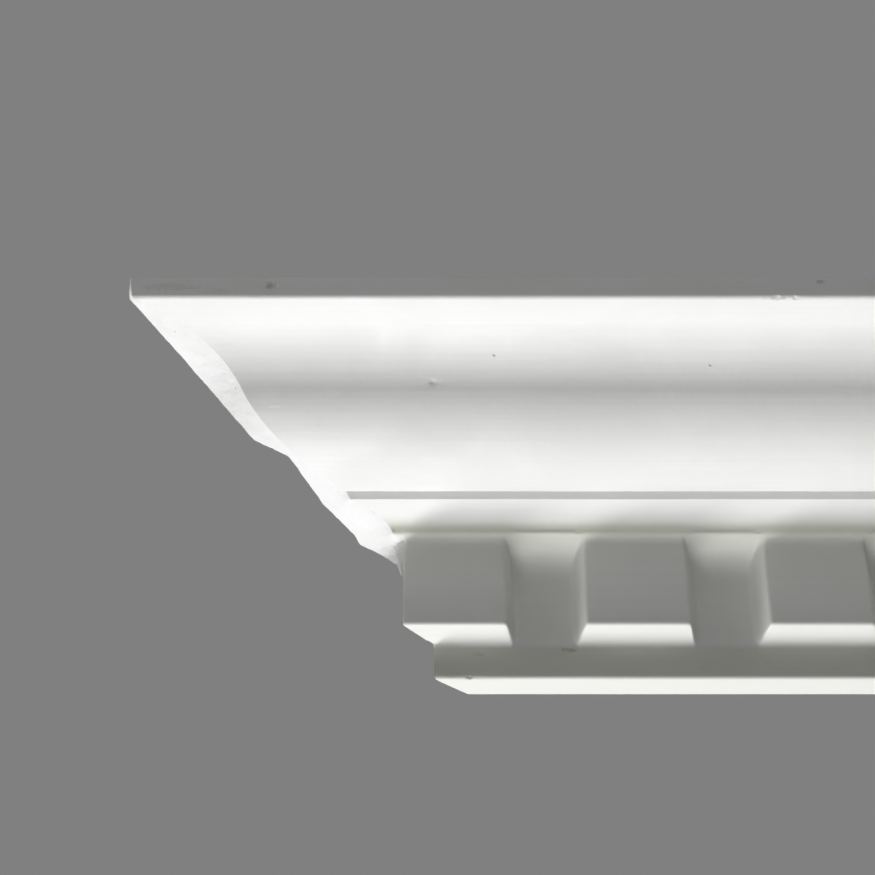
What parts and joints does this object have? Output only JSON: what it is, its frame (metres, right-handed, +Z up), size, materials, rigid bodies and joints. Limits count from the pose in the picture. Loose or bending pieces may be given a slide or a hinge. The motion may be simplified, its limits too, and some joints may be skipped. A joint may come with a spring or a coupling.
{
  "type": "cornice moulding length",
  "caption": "Plaster dentil cornice length for the angle of wall and ceiling, with ogee, bed mould and dentil course, mitred at one end for an outside corner.",
  "frame": {"origin": "centre of the flat wall bed at the back, half way along its length and half way up it", "axes": "+X along the length towards the square end, +Y into the wall, +Z up towards the ceiling"},
  "size_m": [0.9724, 0.12, 0.1066],
  "materials": {
    "plaster": "smooth cast gypsum plaster, matt to faintly satin white"
  },
  "bodies": {
    "root": {"cornice": "plaster"}
  },
  "joints": []
}
